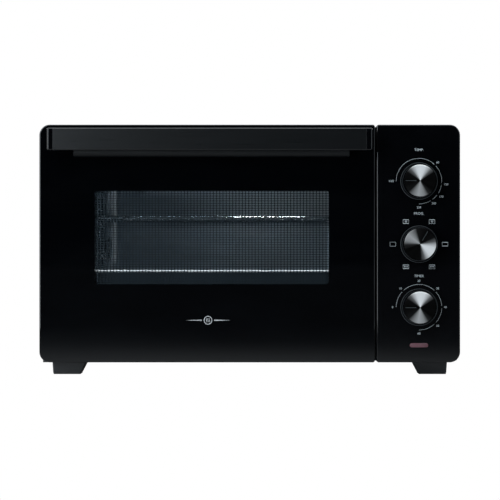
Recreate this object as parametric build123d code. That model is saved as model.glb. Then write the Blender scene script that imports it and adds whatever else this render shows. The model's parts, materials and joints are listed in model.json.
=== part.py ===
"""Countertop toaster oven: drop-down glass door, three rotary controls, convection fan and rotisserie drive.

Row frame, in millimetres: +X to the right of someone facing the door, +Y to the back, +Z up.
The origin is the middle of the footprint, on the surface that the feet stand on.
"""

from build123d import *
import math
import os

# ---------------------------------------------------------------- driving dimensions
WIDTH = 484.0
HEIGHT = 288.5
DEPTH = 380.0  # handle front to the back of the rear bulge
FOOT_HEIGHT = 16.0
BOTTOM = 15.0  # lower edge of the door and of the control fascia
HANDLE_OUT = 32.0  # how far the handle stands in front of the glass
CORNER_R = 12.0  # outer corners of the front
INNER_CORNER_R = 2.5  # corners of door and fascia beside their gap
SHEET = 0.5  # sheet steel of the cabinet and the cavity

RIGHT = WIDTH / 2
LEFT = -RIGHT
FRONT = -DEPTH / 2  # handle's front face
BACK = DEPTH / 2
FACE = FRONT + HANDLE_OUT  # front face of the glass and of the fascia

# door
DOOR_RIGHT = 144.0
DOOR_GAP = 2.0
GLASS_T = 4.0
DOOR_FRAME_BACK = FACE + 24.0
INNER_PANEL_T = 0.8
DOOR_SKIN = 0.8  # channel walls of the door frame
WINDOW = (-178.5, 91.0, 105.0, 212.5)  # clear window: x0, x1, z0, z1
SURROUND = 10.0  # from the clear window to the door frame's opening
HINGE_Y = FACE + 12.0
HINGE_Z = BOTTOM + 12.0
HINGE_EAR_X = {"left": -221.0, "right": 123.0}  # middle of each hinge ear
EAR_T = 4.0
HINGE_BOSS_W = 34.0
HINGE_NOTCH_W = 16.0
PIN_R = 3.0
PIN_L = 28.0

# cabinet
FRAME_FRONT = FACE + 27.0
FRAME_T = 1.0
FRAME_BACK = FRAME_FRONT + FRAME_T
WRAP_X = RIGHT - 1.5
WRAP_TOP = HEIGHT - 1.5
PAN_TOP = FOOT_HEIGHT + SHEET
REAR_Y = 174.0  # back edge of the wrap
REAR_FLANGE = 12.0  # width of the wrap's turned-in back edge
BULGE = BACK - REAR_Y - SHEET  # depth of the rear spacer bulge
BULGE_X = (-176.0, 150.0)
BULGE_Z = (70.0, 236.0)
BULGE_TAPER = 25.0
GLAND_X, GLAND_Z = 200.0, 46.0
GLAND_R = 8.0
REAR_SCREW_R = 1.8
LOUVRE_L, LOUVRE_W, LOUVRE_PITCH = 34.0, 3.0, 9.0
FOOT_X = {  # from the middle: inner top, outer top, inner bottom, outer bottom
    "front": (188.9, 229.6, 196.4, 228.6),
    "rear": (205.0, 229.6, 209.4, 228.6),
}
FOOT_Y = {"front": (-126.0, -86.0), "rear": (126.0, 166.0)}
PAD_T = 1.5
PAD_INSET = 0.5
SIDES = (-1, 1)

# oven cavity, inside faces
CAV_X0, CAV_X1 = -190.0, 115.0
CAV_Z0, CAV_Z1 = 46.0, 262.0
CAV_BACK = 160.0
CAV_CORNER_R = 18.0  # upright corners at the back
RACK_LEDGES = (86.5, 118.2, 179.2)  # tops of the rack ledges
LEDGE_OUT = 8.0
LEDGE_H = 6.0
HEATER_R = 3.2
HEATER_Y = (-55.0, 90.0)
HEATER_Z = (65.0, 245.0)  # lower pair, upper pair
SPIT_Y, SPIT_Z = -5.0, 148.0  # rotisserie axis
SPIT_R = 3.6  # notch that carries the spit
FAN_Y, FAN_Z = 85.0, 147.0
SHIELD_X = 140.0
INSULATOR_OUT = 8.0
HEATER_X = (CAV_X0 - INSULATOR_OUT - 1, CAV_X1 + INSULATOR_OUT + 1)
HOUSING_D = 15.0
HOUSING_R = 46.0
MOTOR_L = 40.0
FAN_SHAFT_R = 2.5
SOCKET_SIDE = 6.4
CRUMB_FRONT = FRAME_BACK + 16.0  # set back so that it stays behind the opening door
CRUMB_WALL = 4.0
EMBOSS = 3.0  # how far the back wall is pressed out

# rack and tray
RACK_ROD = 2.2
RACK_WIRE = 1.3
RACK_PITCH = 27.1
RACK_BACK = CAV_BACK - 20
RACK_FRONT = FRAME_BACK + 6
TRAY_DEPTH = 24.0
TRAY_T = 0.7
TRAY_RIM = 7.0
TRAY_BEAD = 2.6

# controls
FASCIA_LEFT = DOOR_RIGHT + DOOR_GAP
KNOB_X = 194.6
KNOB_PITCH = 72.5
KNOB_Z = {"temperature": 151.0 + KNOB_PITCH, "function": 151.0, "timer": 151.0 - KNOB_PITCH}
POINTER_DEG = {"temperature": 180.0, "function": 60.0, "timer": 180.0}  # from +X, counter-clockwise
KNOB_FRONT = FACE - 23.0
KNOB_BACK = FACE - 1.0
KNOB_R_BACK, KNOB_R_FRONT = 20.2, 18.6
KNOB_RING = (20.25, 21.3)  # inner and outer radius of the bright ring round the base
SHAFT_R = 3.0
RUNNING = 0.05  # radial running clearance
BUSHING_R = 5.0
BRACKET_Y = FRAME_BACK + 7.0
CONTROL_HOLE = (FASCIA_LEFT + 8, WRAP_X - 8, PAN_TOP + 10, WRAP_TOP - 10)  # in the front frame
FASCIA_WALL = 3.0
LAMP = (KNOB_X, 34.8, 21.4, 5.0)  # x, z, width, height

# handle
BAR_X0, BAR_X1 = -224.4, 133.0
CAP_W = 6.7
BAR_Z0, BAR_Z1 = 258.0, 283.3
BAR_T = 7.0
BAR_EDGE_R = 1.2
GRIP_X0, GRIP_X1 = -201.2, 114.0
GRIP_BOTTOM = 251.1
GRIP_T = 9.0
STANDOFF_W = 20.0
SCREW_R = 2.0
SCREW_HEAD_R = 4.0
SCREW_HOLE_R = 2.6  # clearance through glass and frame

pieces = {}


# ---------------------------------------------------------------- helpers
def block(x0, x1, y0, y1, z0, z1):
    """Box between two corners."""
    return Pos((x0 + x1) / 2, (y0 + y1) / 2, (z0 + z1) / 2) * Box(x1 - x0, y1 - y0, z1 - z0)


def rod_x(x0, x1, y, z, r):
    return Pos((x0 + x1) / 2, y, z) * Rot(0, 90, 0) * Cylinder(r, x1 - x0)


def rod_y(y0, y1, x, z, r):
    return Pos(x, (y0 + y1) / 2, z) * Rot(90, 0, 0) * Cylinder(r, y1 - y0)


def rod_z(z0, z1, x, y, r):
    return Pos(x, y, (z0 + z1) / 2) * Cylinder(r, z1 - z0)


def slab(sketch, y0, y1):
    """A sketch drawn as (x, z), as thick as from y0 to y1."""
    return extrude(Plane.XZ.offset(-y1) * sketch, y1 - y0)


def rounded(x0, x1, z0, z1, r_left, r_right=None):
    """Rectangle in (x, z) with its own radius on the left and on the right corners."""
    face = Pos((x0 + x1) / 2, (z0 + z1) / 2) * Rectangle(x1 - x0, z1 - z0)
    face = fillet(face.vertices().group_by(Axis.X)[0], r_left)
    return fillet(face.vertices().group_by(Axis.X)[-1], r_left if r_right is None else r_right)


def slots(x_list, z_list, length, width, upright=False):
    """Rounded slots in (x, z), one at every crossing of the two lists."""
    spots = [(x, z) for x in x_list for z in z_list]
    slot = SlotOverall(length, width, rotation=90 if upright else 0)
    return Sketch() + [Pos(x, z) * slot for x, z in spots]


def spaced(first, step, count):
    return [first + step * i for i in range(count)]


def side_slab(sketch, x0, x1):
    """A sketch drawn as (y, z), as thick as from x0 to x1."""
    return extrude(Plane.YZ.offset(x0) * sketch, x1 - x0)


# ---------------------------------------------------------------- cabinet sheet metal
def foot_spots():
    """Middle of each foot's sole."""
    spots = []
    for end, (_, _, inner, outer) in FOOT_X.items():
        spots += [(side * (inner + outer) / 2, sum(FOOT_Y[end]) / 2) for side in SIDES]
    return spots


def make_base_pan():
    x, y0, y1 = WRAP_X - SHEET - 0.1, FRAME_BACK, REAR_Y - SHEET - 0.1
    pan = block(-x, x, y0, y1, FOOT_HEIGHT, PAN_TOP)
    for side in SIDES:
        edge = side * (x - SHEET / 2)
        pan += block(edge - SHEET / 2, edge + SHEET / 2, y0, y1, PAN_TOP, PAN_TOP + 11)
    vents = Sketch() + [
        Pos(cx, cy) * SlotOverall(46, 4, rotation=90)
        for cx in [*spaced(-150, 20, 13), *spaced(150, 16, 5)]
        for cy in (-30, 50)
    ]
    pan -= Pos(0, 0, FOOT_HEIGHT - 1) * extrude(vents, 4)
    for cx, cy in foot_spots():
        pan -= rod_z(FOOT_HEIGHT - 1, PAN_TOP + 1, cx, cy, 2.1)
    return pan


def wrap_profile(inset):
    """Upside-down U in (x, z): flat sides, rounded top corners."""
    x, top, r = WRAP_X - inset, WRAP_TOP - inset, CORNER_R - inset
    face = Pos(0, (top + PAN_TOP) / 2) * Rectangle(2 * x, top - PAN_TOP)
    return fillet(face.vertices().group_by(Axis.Y)[-1], r)


def rear_screw_spots():
    edge = REAR_FLANGE / 2
    sides = [(side * (WRAP_X - edge), z) for side in SIDES for z in (40, 150, 262)]
    return sides + [(x, WRAP_TOP - edge) for x in (-120, 0, 120)]


def make_outer_wrap():
    """Sides and top folded from one sheet, a flange turned in at the back, louvres in both sides."""
    inside = wrap_profile(SHEET) + Pos(0, PAN_TOP) * Rectangle(2 * (WRAP_X - SHEET), 2)
    back_x = WRAP_X - REAR_FLANGE
    back_opening = rounded(-back_x, back_x, 0, WRAP_TOP - REAR_FLANGE, 3)
    shell = slab(wrap_profile(0), FRAME_BACK, REAR_Y)
    shell -= slab(inside, FRAME_BACK - 1, REAR_Y - SHEET)
    shell -= slab(back_opening, REAR_Y - 3, REAR_Y + 1)
    spots = [(y, z) for y in (60, 104) for z in spaced(52, LOUVRE_PITCH, 9)]
    spots += [(104, z) for z in spaced(205, LOUVRE_PITCH, 6)]
    louvres = Sketch() + [Pos(y, z) * SlotOverall(LOUVRE_L, LOUVRE_W) for y, z in spots]
    for side in SIDES:
        shell -= side_slab(louvres, side * WRAP_X - 5, side * WRAP_X + 5)
    for x, z in rear_screw_spots():
        shell -= rod_y(REAR_Y - 4, REAR_Y + 1, x, z, REAR_SCREW_R + 0.1)
    return shell


def bulge_solid(inset, depth):
    """Truncated pyramid on the back of the rear panel."""
    base = rounded(BULGE_X[0] + inset, BULGE_X[1] - inset, BULGE_Z[0] + inset, BULGE_Z[1] - inset, 10)
    face = Plane((0, REAR_Y, 0), x_dir=(-1, 0, 0), z_dir=(0, 1, 0)) * mirror(base, Plane.YZ)
    return extrude(face, depth, taper=BULGE_TAPER)


def make_rear_panel():
    x = WRAP_X - 0.5
    panel = slab(rounded(-x, x, PAN_TOP + 0.5, WRAP_TOP - 0.5, CORNER_R), REAR_Y, REAR_Y + SHEET)
    panel += bulge_solid(0, BULGE + SHEET)
    panel -= bulge_solid(SHEET / math.cos(math.radians(BULGE_TAPER)), BULGE)
    vents = slots(spaced(-143, 13, 21), (196, 110), 46, 4, upright=True)
    vents += slots(spaced(172, 9, 7), (200, 130), 50, 4, upright=True)
    panel -= slab(vents, REAR_Y - 2, BACK + 2)
    panel -= rod_y(REAR_Y - 1, REAR_Y + 4, GLAND_X, GLAND_Z, GLAND_R)
    for x, z in rear_screw_spots():
        panel -= rod_y(REAR_Y - 1, REAR_Y + 3, x, z, REAR_SCREW_R + 0.1)
    return panel


def make_front_frame():
    frame = slab(rounded(-WRAP_X, WRAP_X, FOOT_HEIGHT, WRAP_TOP, CORNER_R), FRAME_FRONT, FRAME_BACK)
    mouth = rounded(CAV_X0 + 1, CAV_X1 - 1, CAV_Z0 - 0.5, CAV_Z1 - 2, 3)
    frame -= slab(mouth, FRAME_FRONT - 1, FRAME_BACK + 1)
    frame -= slab(rounded(*CONTROL_HOLE, 4), FRAME_FRONT - 1, FRAME_BACK + 1)
    for x in HINGE_EAR_X.values():
        frame -= block(x - 3, x + 3, FRAME_FRONT - 1, FRAME_BACK + 1, HINGE_Z - 7, HINGE_Z + 7)
    return frame


# ---------------------------------------------------------------- cavity
def ledge(wall_x, inward, top):
    """A pressed-in rack ledge, hollow behind."""
    y0, y1 = FRAME_BACK + 6, CAV_BACK - CAV_CORNER_R - 2
    x0, x1 = sorted((wall_x, wall_x + inward * LEDGE_OUT))
    back0, back1 = sorted((wall_x - inward * SHEET, wall_x + inward * (LEDGE_OUT - SHEET)))
    shape = block(x0, x1, y0, y1, top - LEDGE_H, top)
    shape = fillet(shape.edges().filter_by(Axis.Y).group_by(Axis.X)[-1 if inward > 0 else 0], 1.5)
    return shape, block(back0, back1, y0 + SHEET, y1 - SHEET, top - LEDGE_H + SHEET, top - SHEET)


def make_side_wall(wall_x, inward):
    """Cavity side wall from the base pan up, with ledges and heater holes. inward is +1 on the left."""
    x0, x1 = sorted((wall_x, wall_x - inward * SHEET))
    bend_y = CAV_BACK - CAV_CORNER_R
    wall = block(x0, x1, FRAME_BACK, bend_y, PAN_TOP, CAV_Z1 + SHEET)
    bend_x = wall_x + inward * CAV_CORNER_R
    bend = rod_z(PAN_TOP, CAV_Z1 + SHEET, bend_x, bend_y, CAV_CORNER_R + SHEET)
    bend -= rod_z(PAN_TOP - 1, CAV_Z1 + 2, bend_x, bend_y, CAV_CORNER_R)
    far_x = wall_x - inward * (SHEET + 1)
    wall += bend & block(*sorted((far_x, bend_x)), bend_y, CAV_BACK + 2, 0, HEIGHT)
    for top in RACK_LEDGES:
        rib, hollow = ledge(wall_x, inward, top)
        wall = wall + rib - hollow
    for y in HEATER_Y:
        for z in HEATER_Z:
            wall -= rod_x(x0 - 1, x1 + 1, y, z, 5.1)
    return wall


def make_right_wall():
    wall = make_side_wall(CAV_X1, -1)
    grille = Sketch() + [Pos(y, FAN_Z) * SlotOverall(44, 3.2, rotation=90) for y in spaced(FAN_Y - 36, 6, 13)]
    wall -= side_slab(grille, CAV_X1 - 1, CAV_X1 + 2)
    wall -= rod_x(CAV_X1 - 1, CAV_X1 + 2, SPIT_Y, SPIT_Z, 6)
    return wall


def cavity_plan(z, thickness):
    """Sheet over the cavity's whole plan, round at the back corners."""
    r = CAV_CORNER_R
    sheet = block(CAV_X0, CAV_X1, FRAME_BACK, CAV_BACK, z, z + thickness)
    return fillet(sheet.edges().filter_by(Axis.Z).group_by(Axis.Y)[-1], r)


def make_ceiling():
    sheet = cavity_plan(CAV_Z1, SHEET)
    for y in HEATER_Y:  # shallow reflector fold over each upper heater
        sheet += block(CAV_X0 + 10, CAV_X1 - 10, y + 16, y + 17, CAV_Z1 - 4, CAV_Z1)
        sheet += block(CAV_X0 + 10, CAV_X1 - 10, y - 17, y - 16, CAV_Z1 - 4, CAV_Z1)
    return sheet


def make_back_wall():
    r = CAV_CORNER_R
    sheet = block(CAV_X0 + r, CAV_X1 - r, CAV_BACK, CAV_BACK + SHEET, PAN_TOP, CAV_Z1 + SHEET)
    outline = rounded(CAV_X0 + 24, CAV_X1 - 24, 100, 225, 14)
    emboss = slab(outline, CAV_BACK + SHEET, CAV_BACK + SHEET + EMBOSS)
    hollow = slab(offset(outline, -SHEET), CAV_BACK - 1, CAV_BACK + EMBOSS)
    return sheet + emboss - hollow


def make_crumb_tray():
    """Shallow tray on the cavity floor, with a lip in front to pull it by."""
    x0, x1, y0, y1 = CAV_X0 + 5, CAV_X1 - 5, CRUMB_FRONT, CAV_BACK - 20
    tray = block(x0, x1, y0, y1, CAV_Z0, CAV_Z0 + CRUMB_WALL)
    tray -= block(x0 + SHEET, x1 - SHEET, y0 + SHEET, y1 - SHEET, CAV_Z0 + SHEET, CAV_Z0 + CRUMB_WALL + 1)
    grip = block(-72, -3, y0 - 3, y0, CAV_Z0 + 2, CAV_Z0 + CRUMB_WALL)
    return tray + grip


def make_heaters(z):
    """A front and a rear tubular heater at one height, each with its two terminal pins."""
    x0, x1 = HEATER_X
    rods = []
    for y in HEATER_Y:
        pins = rod_x(x0 - 6, x0, y, z, 1.2) + rod_x(x1, x1 + 6, y, z, 1.2)
        rods.append(rod_x(x0, x1, y, z, HEATER_R) + pins)
    return rods


def make_insulators():
    """Ceramic bushes, a neck through the wall and a flange outside it."""
    bushes = []
    for wall, out in ((CAV_X0, -1), (CAV_X1, 1)):
        for y in HEATER_Y:
            for z in HEATER_Z:
                neck = rod_x(*sorted((wall - out * 2, wall + out * SHEET)), y, z, 5.0)
                head = rod_x(*sorted((wall + out * SHEET, wall + out * INSULATOR_OUT)), y, z, 8.0)
                bore = rod_x(*sorted((wall - out * 5, wall + out * 20)), y, z, HEATER_R)
                bushes.append(neck + head - bore)
    return bushes


def make_spit_bracket():
    """Strip on the left wall that carries the free end of a rotisserie spit."""
    x0 = CAV_X0
    t, half, reach, top = 1.2, 9.0, 22.0, SPIT_Z + 10
    base = block(x0, x0 + t, SPIT_Y - half, SPIT_Y + half, SPIT_Z - 17, SPIT_Z + 24)
    arm = block(x0 + t, x0 + reach, SPIT_Y - half, SPIT_Y - half + t, SPIT_Z - 15, top)
    arm -= rod_y(SPIT_Y - half - 1, SPIT_Y - half + 2, x0 + 12, SPIT_Z + 15, 6)
    cradle = block(x0 + reach - t, x0 + reach, SPIT_Y - half + t, SPIT_Y + half, SPIT_Z - 12, top)
    cradle -= block(x0 + 20, x0 + 23, SPIT_Y - SPIT_R, SPIT_Y + SPIT_R, SPIT_Z, top + 1)
    cradle -= rod_x(x0 + 20, x0 + 23, SPIT_Y, SPIT_Z, SPIT_R)
    return base + arm + cradle


# ---------------------------------------------------------------- convection fan and rotisserie drive
def make_fan_housing():
    x0 = CAV_X1 + SHEET
    pan = rod_x(x0, x0 + HOUSING_D, FAN_Y, FAN_Z, HOUSING_R)
    flange = rod_x(x0, x0 + SHEET, FAN_Y, FAN_Z, HOUSING_R + 7)
    room = rod_x(x0 - 1, x0 + HOUSING_D - SHEET, FAN_Y, FAN_Z, HOUSING_R - SHEET)
    return pan + flange - room - rod_x(x0, x0 + 20, FAN_Y, FAN_Z, 5)


def fan_wheel(x0, x1, radius, count, hub_r):
    """Disc-backed paddle wheel about the fan axis."""
    wheel = rod_x(x0, x0 + 1, 0, 0, radius * 0.62) + rod_x(x0, x1, 0, 0, hub_r)
    for i in range(count):
        paddle = block(x0, x1, -0.5, 0.5, hub_r - 1, radius)
        wheel += Rot(360 / count * i, 0, 0) * paddle
    wheel -= rod_x(x0 - 1, x1 + 1, 0, 0, FAN_SHAFT_R)
    return Pos(0, FAN_Y, FAN_Z) * wheel


def make_fan_shaft():
    return rod_x(CAV_X1 + 3, SHIELD_X + SHEET + MOTOR_L - 4, FAN_Y, FAN_Z, FAN_SHAFT_R)


def make_fan_motor():
    """Shaded-pole motor: laminated stack, end bells and a coil beside the rotor."""
    x0 = SHIELD_X + SHEET
    stack = block(x0 + 11, x0 + 27, FAN_Y - 30, FAN_Y + 30, FAN_Z - 25, FAN_Z + 25)
    stack = fillet(stack.edges().filter_by(Axis.X), 4)
    bells = rod_x(x0 + 3, x0 + MOTOR_L, FAN_Y, FAN_Z, 17)
    legs = [rod_x(x0, x0 + 11, FAN_Y + dy, FAN_Z + dz, 3) for dy in (-24, 24) for dz in (-19, 19)]
    coil = block(x0 + 7, x0 + 31, FAN_Y + 18, FAN_Y + 40, FAN_Z - 14, FAN_Z + 14)
    coil = fillet(coil.edges().filter_by(Axis.Z), 5)
    bore = rod_x(x0 - 1, x0 + MOTOR_L - 3, FAN_Y, FAN_Z, FAN_SHAFT_R + RUNNING)
    return stack + bells + legs + coil - bore


def make_heat_shield():
    shield = block(SHIELD_X, SHIELD_X + SHEET, FRAME_BACK + 10, REAR_Y - 6, PAN_TOP, CAV_Z1 + 8)
    shield += block(SHIELD_X + SHEET, SHIELD_X + 11, FRAME_BACK + 10, REAR_Y - 6, PAN_TOP, PAN_TOP + SHEET)
    shield -= rod_x(SHIELD_X - 1, SHIELD_X + 3, FAN_Y, FAN_Z, 6)
    shield -= rod_x(SHIELD_X - 1, SHIELD_X + 3, SPIT_Y, SPIT_Z, 6)
    shield -= rod_x(SHIELD_X - 1, SHIELD_X + 3, 130, 60, 9)
    return shield


def make_spit_motor():
    x0 = SHIELD_X + SHEET
    can = rod_x(x0, x0 + 17, SPIT_Y, SPIT_Z, 24)
    can = fillet(can.edges().filter_by(GeomType.CIRCLE), 1.5)
    ears = block(x0, x0 + 1.5, SPIT_Y - 33, SPIT_Y + 33, SPIT_Z - 5, SPIT_Z + 5)
    tabs = block(x0 + 4, x0 + 12, SPIT_Y - 6, SPIT_Y + 6, SPIT_Z - 31, SPIT_Z - 20)
    return can + ears + tabs - rod_x(x0 - 1, x0 + 12, SPIT_Y, SPIT_Z, SHAFT_R + RUNNING)


def make_spit_coupling():
    """Shaft with a square socket that turns the spit."""
    head = rod_x(CAV_X1 - 9, CAV_X1 - 1, SPIT_Y, SPIT_Z, 9)
    shaft = rod_x(CAV_X1 - 1, SHIELD_X + 11, SPIT_Y, SPIT_Z, SHAFT_R)
    half = SOCKET_SIDE / 2
    socket = block(CAV_X1 - 10, CAV_X1 - 2.5, SPIT_Y - half, SPIT_Y + half, SPIT_Z - half, SPIT_Z + half)
    return head + shaft - socket


# ---------------------------------------------------------------- controls
def make_fascia():
    """Moulded control panel: front wall with a rim running back to the front frame."""
    x0, x1, top = FASCIA_LEFT, RIGHT, HEIGHT
    body = slab(rounded(x0, x1, BOTTOM, top, INNER_CORNER_R, CORNER_R), FACE, FRAME_FRONT)
    body = fillet(body.edges().group_by(Axis.Y)[0], 1.4)
    w = FASCIA_WALL
    room = rounded(x0 + w, x1 - w, BOTTOM + w, top - w, 1, CORNER_R - w)
    body -= slab(room, FACE + w, FRAME_FRONT + 1)
    for z in KNOB_Z.values():
        body -= rod_y(FACE - 1, FACE + w + 1, KNOB_X, z, 6)
    body -= slab(Pos(LAMP[0], LAMP[1]) * SlotOverall(LAMP[2], LAMP[3]), FACE - 1, FACE + w + 1)
    return body


def make_control_bracket():
    x0, x1 = CONTROL_HOLE[0] - 4, CONTROL_HOLE[1] + 4
    plate = block(x0, x1, BRACKET_Y, BRACKET_Y + SHEET, PAN_TOP + 30, WRAP_TOP - 8)
    for z in KNOB_Z.values():
        plate -= rod_y(BRACKET_Y - 1, BRACKET_Y + 2, KNOB_X, z, BUSHING_R + 0.1)
    for x in (x0, x1 - SHEET):
        plate += block(x, x + SHEET, FRAME_BACK, BRACKET_Y, PAN_TOP + 30, WRAP_TOP - 8)
    return plate


def bushing(z):
    """Threaded neck that clamps a control to the bracket, with a bore for its shaft."""
    return rod_y(BRACKET_Y - 7, BRACKET_Y + SHEET, KNOB_X, z, BUSHING_R)


def control_body(z, shape):
    return shape + bushing(z) - rod_y(BRACKET_Y - 9, BRACKET_Y + 14, KNOB_X, z, SHAFT_R + RUNNING)


def make_thermostat():
    z, y0 = KNOB_Z["temperature"], BRACKET_Y + SHEET
    frame = block(KNOB_X - 13, KNOB_X + 13, y0, y0 + 4, z - 19, z + 19)
    ceramic = block(KNOB_X - 10, KNOB_X + 10, y0 + 4, y0 + 22, z - 15, z + 15)
    spots = (z - 11, z + 11)
    terminals = [block(KNOB_X - 3, KNOB_X + 3, y0 + 22, y0 + 30, mid - 0.5, mid + 0.5) for mid in spots]
    return control_body(z, frame + ceramic + terminals)


def make_function_switch():
    z, y0 = KNOB_Z["function"], BRACKET_Y + SHEET
    can = rod_y(y0, y0 + 26, KNOB_X, z, 21)
    tabs = []
    for i in range(6):
        tab = block(-2.4, 2.4, y0 + 26, y0 + 33, 14, 15)
        tabs.append(Pos(KNOB_X, 0, z) * Rot(0, 60 * i, 0) * tab)
    return control_body(z, can + tabs)


def make_timer():
    z, y0 = KNOB_Z["timer"], BRACKET_Y + SHEET
    case = block(KNOB_X - 25, KNOB_X + 25, y0, y0 + 30, z - 25, z + 25)
    case = fillet(case.edges().filter_by(Axis.Y), 5)
    post = rod_y(y0 + 30, y0 + 33, KNOB_X, z, 3)
    tab = block(KNOB_X + 24, KNOB_X + 32, y0 + 12, y0 + 13, z - 9, z - 3)
    return control_body(z, case + post + tab)


def make_bell():
    z, y0 = KNOB_Z["timer"], BRACKET_Y + SHEET + 33
    dome = Pos(KNOB_X, y0 - 15, z) * Sphere(27) - block(KNOB_X - 40, KNOB_X + 40, y0 - 60, y0, z - 40, z + 40)
    hollow = Pos(KNOB_X, y0 - 15, z) * Sphere(26)
    return dome - (hollow & block(KNOB_X - 40, KNOB_X + 40, y0 - 1, y0 + 10, z - 40, z + 40))


def make_knob(z):
    """Black tapered knob, hollow behind, pressed on its shaft."""
    y0, y1 = KNOB_FRONT + 1, KNOB_BACK
    cone = Pos(KNOB_X, (y0 + y1) / 2, z) * Rot(90, 0, 0) * Cone(KNOB_R_BACK, KNOB_R_FRONT, y1 - y0)
    room = rod_y(y0 + 3, y1 + 1, KNOB_X, z, KNOB_R_FRONT - 2.5) - rod_y(y0 + 3, y1 - 2, KNOB_X, z, 6)
    return cone - room - rod_y(y0 + 4, y1, KNOB_X, z, SHAFT_R)


def make_knob_trim(z, pointer):
    """Spun disc on the knob's front, with its pointer groove, and the bright ring round its base."""
    disc = rod_y(KNOB_FRONT, KNOB_FRONT + 1, KNOB_X, z, 18.2)
    disc = chamfer(disc.edges().filter_by(GeomType.CIRCLE).group_by(Axis.Y)[0], 0.5)
    a = math.radians(pointer)
    groove = Pos(11 * math.cos(a), 11 * math.sin(a)) * SlotOverall(12, 0.8, rotation=pointer)
    disc -= slab(Pos(KNOB_X, z) * groove, KNOB_FRONT - 1, KNOB_FRONT + 0.4)
    inner, outer = KNOB_RING
    ring = rod_y(KNOB_BACK - 2, KNOB_BACK, KNOB_X, z, outer)
    ring -= rod_y(KNOB_BACK - 3, KNOB_BACK + 1, KNOB_X, z, inner)
    return [disc, ring]


def make_control_shaft(z):
    """Round shaft from inside the control to the knob."""
    return rod_y(KNOB_FRONT + 5, BRACKET_Y + 12, KNOB_X, z, SHAFT_R)


def make_lamp_lens():
    x, z, w, h = LAMP
    lens = slab(Pos(x, z) * SlotOverall(w - 0.3, h - 0.3), FACE - 0.4, FACE + 3)
    return lens + slab(Pos(x, z) * SlotOverall(w + 5, h + 4), FACE + 3, FACE + 5)


def make_lamp_holder():
    x, z, w, h = LAMP
    box = block(x - 9, x + 9, FACE + 5, FACE + 21, z - 4, z + 4)
    pins = [rod_y(FACE + 21, FACE + 27, x + dx, z, 0.8) for dx in (-4, 4)]
    return box + pins


def make_terminal_block():
    x0, y0, z0 = 176.0, 122.0, PAN_TOP
    base = block(x0, x0 + 36, y0, y0 + 22, z0, z0 + 10)
    for i in range(3):
        cx = x0 + 6 + 12 * i
        base += block(cx - 4.5, cx + 4.5, y0 + 3, y0 + 19, z0 + 10, z0 + 19)
        base -= rod_z(z0 + 12, z0 + 20, cx, y0 + 7, 1.8)
        base -= rod_z(z0 + 12, z0 + 20, cx, y0 + 15, 1.8)
    return base


def make_cord_gland():
    """Grommet for the mains cord, clipped in the rear panel."""
    y0, y1 = REAR_Y, REAR_Y + SHEET
    bush = rod_y(y0 - 3, y1 + 4, GLAND_X, GLAND_Z, GLAND_R + 3)
    groove = rod_y(y0, y1, GLAND_X, GLAND_Z, GLAND_R + 5) - rod_y(y0 - 1, y1 + 1, GLAND_X, GLAND_Z, GLAND_R)
    return bush - groove - rod_y(y0 - 4, y1 + 5, GLAND_X, GLAND_Z, 4.2)


# ---------------------------------------------------------------- feet and fasteners
def make_foot(side, end):
    """Moulded foot, a trapezium seen from the front, with the screw's counterbore. side is -1 on the left."""
    t0, t1, b0, b1 = FOOT_X[end]
    y0, y1 = FOOT_Y[end]
    corners = [(t0, FOOT_HEIGHT), (t1, FOOT_HEIGHT), (b1, PAD_T), (b0, PAD_T)]
    outline = make_face(Polyline(*[(side * x, z) for x, z in corners], close=True))
    foot = slab(outline, y0, y1)
    foot = fillet(foot.edges().filter_by(Axis.Y, reverse=True).filter_by(Axis.X, reverse=True), 1.0)
    cx, cy = side * (b0 + b1) / 2, (y0 + y1) / 2
    return foot - rod_z(PAD_T - 1, 8, cx, cy, 4.4) - rod_z(7, FOOT_HEIGHT + 1, cx, cy, 2.1)


def make_foot_pads():
    pads = []
    for end, (y0, y1) in FOOT_Y.items():
        inner, outer = FOOT_X[end][2] + PAD_INSET, FOOT_X[end][3] - PAD_INSET
        for side in SIDES:
            x0, x1 = sorted((side * inner, side * outer))
            pads.append(block(x0, x1, y0 + PAD_INSET, y1 - PAD_INSET, 0, PAD_T))
    return pads


def make_foot_screws():
    return [rod_z(8, PAN_TOP + 5, cx, cy, 2.0) + rod_z(5, 8, cx, cy, 4.0) for cx, cy in foot_spots()]


def cross_recess(shape, y_face, x, z):
    """Cuts a small cross in a screw head that faces +Y."""
    for w, h in ((3.6, 0.8), (0.8, 3.6)):
        shape -= block(x - w / 2, x + w / 2, y_face - 0.9, y_face + 1, z - h / 2, z + h / 2)
    return shape


def make_rear_screws():
    screws = []
    for x, z in rear_screw_spots():
        y = REAR_Y + SHEET
        head = rod_y(y, y + 2, x, z, 3.4)
        head = fillet(head.edges().filter_by(GeomType.CIRCLE).group_by(Axis.Y)[-1], 0.9)
        screws.append(cross_recess(head + rod_y(y - 8, y, x, z, REAR_SCREW_R), y + 2, x, z))
    return screws


# ---------------------------------------------------------------- door
def door_outline(inset=0.0):
    r_left, r_right = CORNER_R - inset, max(INNER_CORNER_R - inset, 1.0)
    return rounded(LEFT + inset, DOOR_RIGHT - inset, BOTTOM + inset, HEIGHT - inset, r_left, r_right)


def window_surround(grow):
    """The window's outline, larger by the given amount on every side."""
    x0, x1, z0, z1 = WINDOW
    return rounded(x0 - grow, x1 + grow, z0 - grow, z1 + grow, grow - 4)


def handle_screw_spots():
    z = (BAR_Z0 + BAR_Z1) / 2
    return [(BAR_X0 + STANDOFF_W / 2 + 2, z), (BAR_X1 - STANDOFF_W / 2, z)]


def make_door_glass():
    glass = slab(door_outline(), FACE, FACE + GLASS_T)
    glass = fillet(glass.edges().group_by(Axis.Y)[0], 1.2)
    for x, z in handle_screw_spots():
        glass -= rod_y(FACE - 1, FACE + GLASS_T + 1, x, z, SCREW_HOLE_R)
    return glass


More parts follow.
